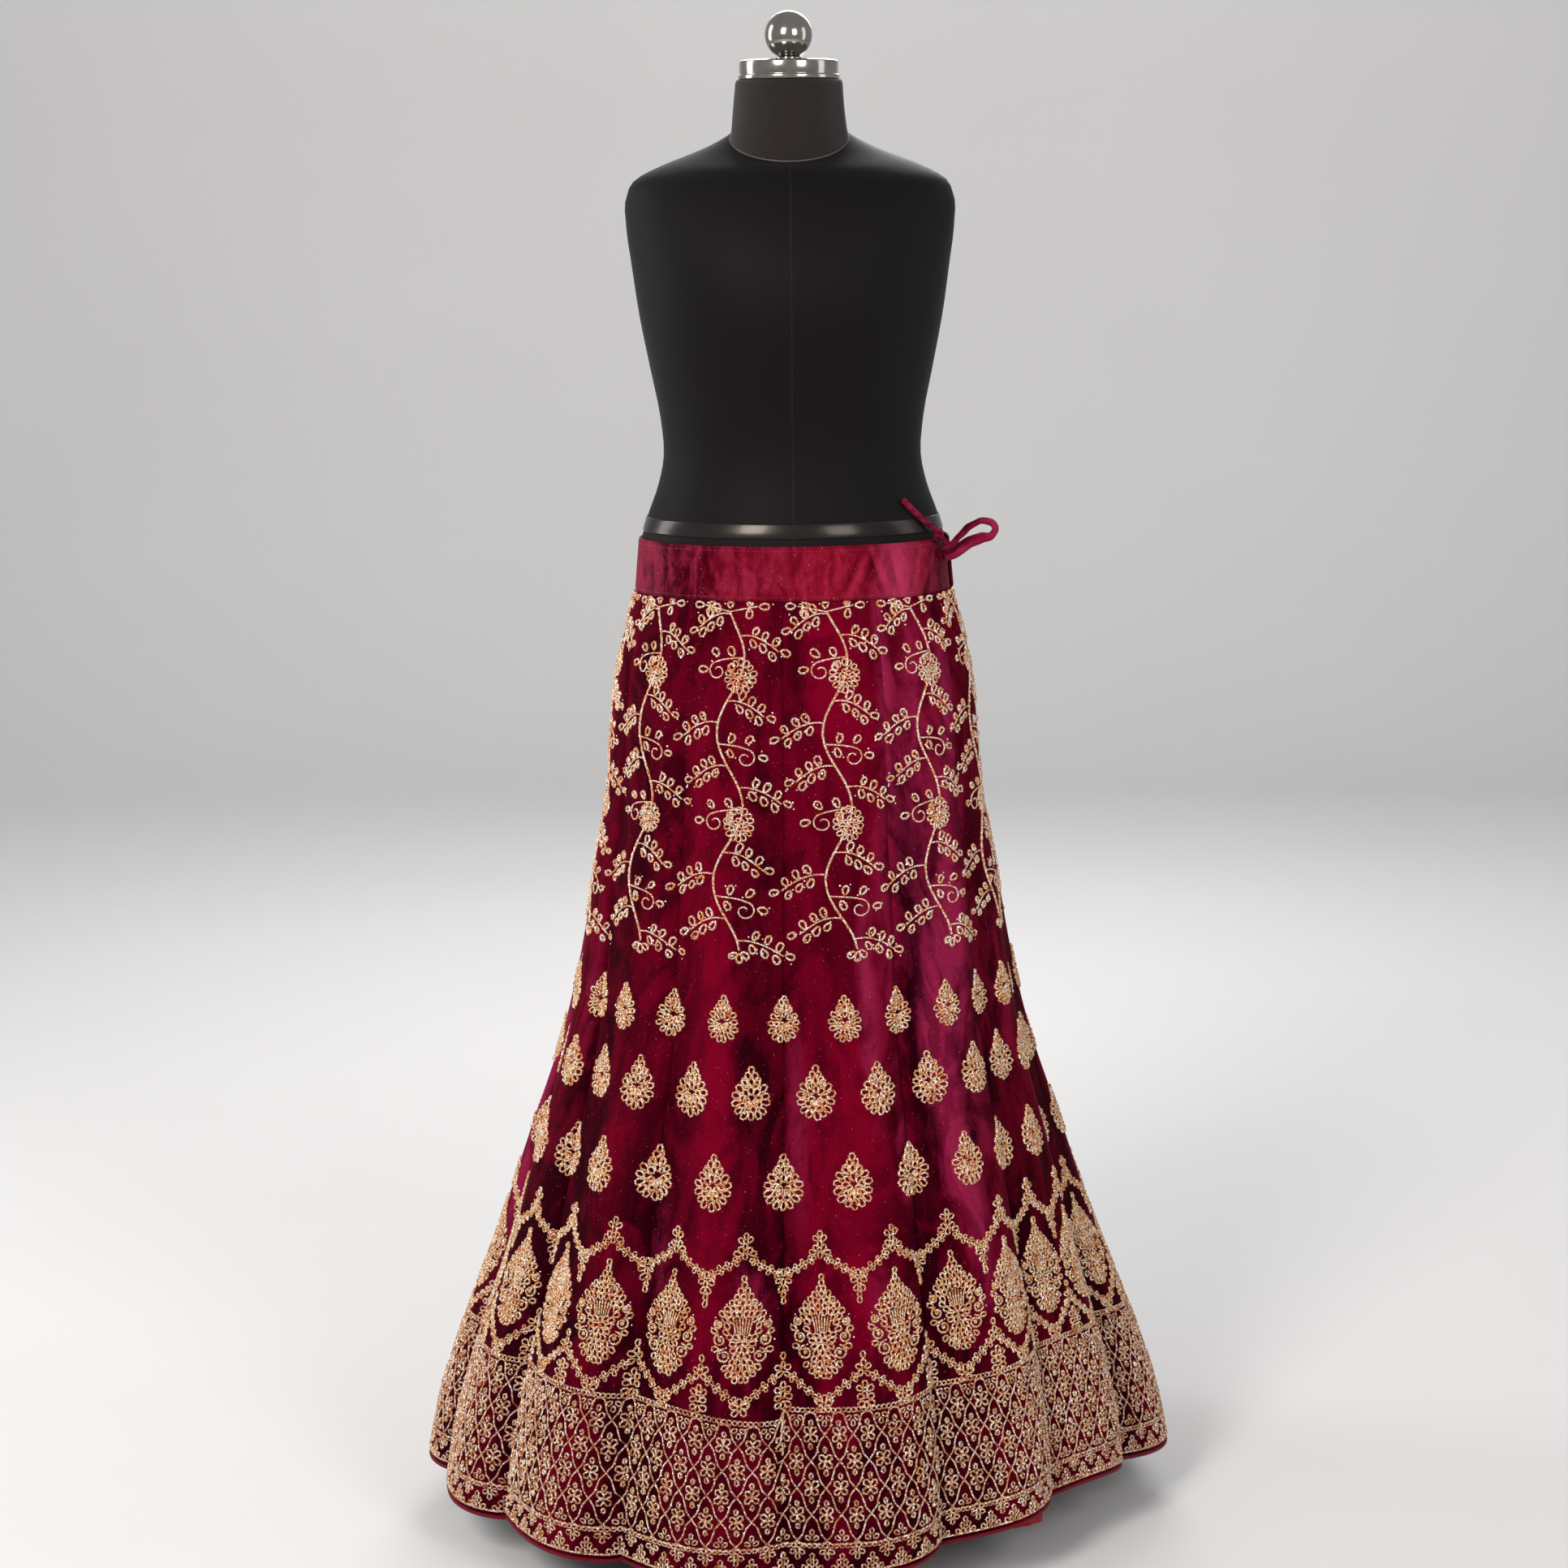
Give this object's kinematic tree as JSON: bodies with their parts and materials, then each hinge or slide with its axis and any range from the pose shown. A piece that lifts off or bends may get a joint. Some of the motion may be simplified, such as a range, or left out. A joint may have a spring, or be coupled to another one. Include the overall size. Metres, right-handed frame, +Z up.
{
  "type": "lehenga skirt on dress form",
  "caption": "Flared panelled velvet skirt with cord embroidery, satin waistband tied at the side and corded hem, on a limbless dress form with a round stand.",
  "frame": {"origin": "centre of the underside of the stand's base, on the floor", "axes": "+Z up along the pole, -Y towards the front of the skirt, +X towards the wearer's left, where the placket and tie are"},
  "size_m": [0.7926, 0.757, 1.5623],
  "materials": {
    "velvet": "deep wine velvet with antique gold cord embroidery",
    "satin": "crimson satin with a soft sheen",
    "piping": "maroon satin piping",
    "lining": "bright red lining",
    "tie_cloth": "raspberry satin rouleau",
    "zari": "antique gold zari cord with small sequins",
    "form_cloth": "matt black jersey",
    "neck_cloth": "dark brown-black felted cloth",
    "waist_tape": "glossy black tape",
    "chrome": "polished chrome plate"
  },
  "bodies": {
    "root": {"kali_01": "velvet", "kali_02": "velvet", "kali_03": "velvet", "kali_04": "velvet", "kali_05": "velvet", "kali_06": "velvet", "kali_07": "velvet", "kali_08": "velvet", "kali_09": "velvet", "kali_10": "velvet", "kali_11": "velvet", "kali_12": "velvet", "kali_13": "velvet", "kali_14": "velvet", "waistband": "satin", "placket_underlap": "satin", "hem_piping": "piping", "lining_corner": "lining", "hanger_loop": "tie_cloth", "tie_lower": "tie_cloth", "tie_end": "tie_cloth", "tie_knot": "tie_cloth", "form_torso": "form_cloth", "form_neck": "neck_cloth", "form_waist_tape": "waist_tape", "form_cap": "chrome", "form_ball": "chrome", "stand_base": "chrome", "stand_collar": "chrome", "stand_pole": "chrome"}
  },
  "joints": []
}
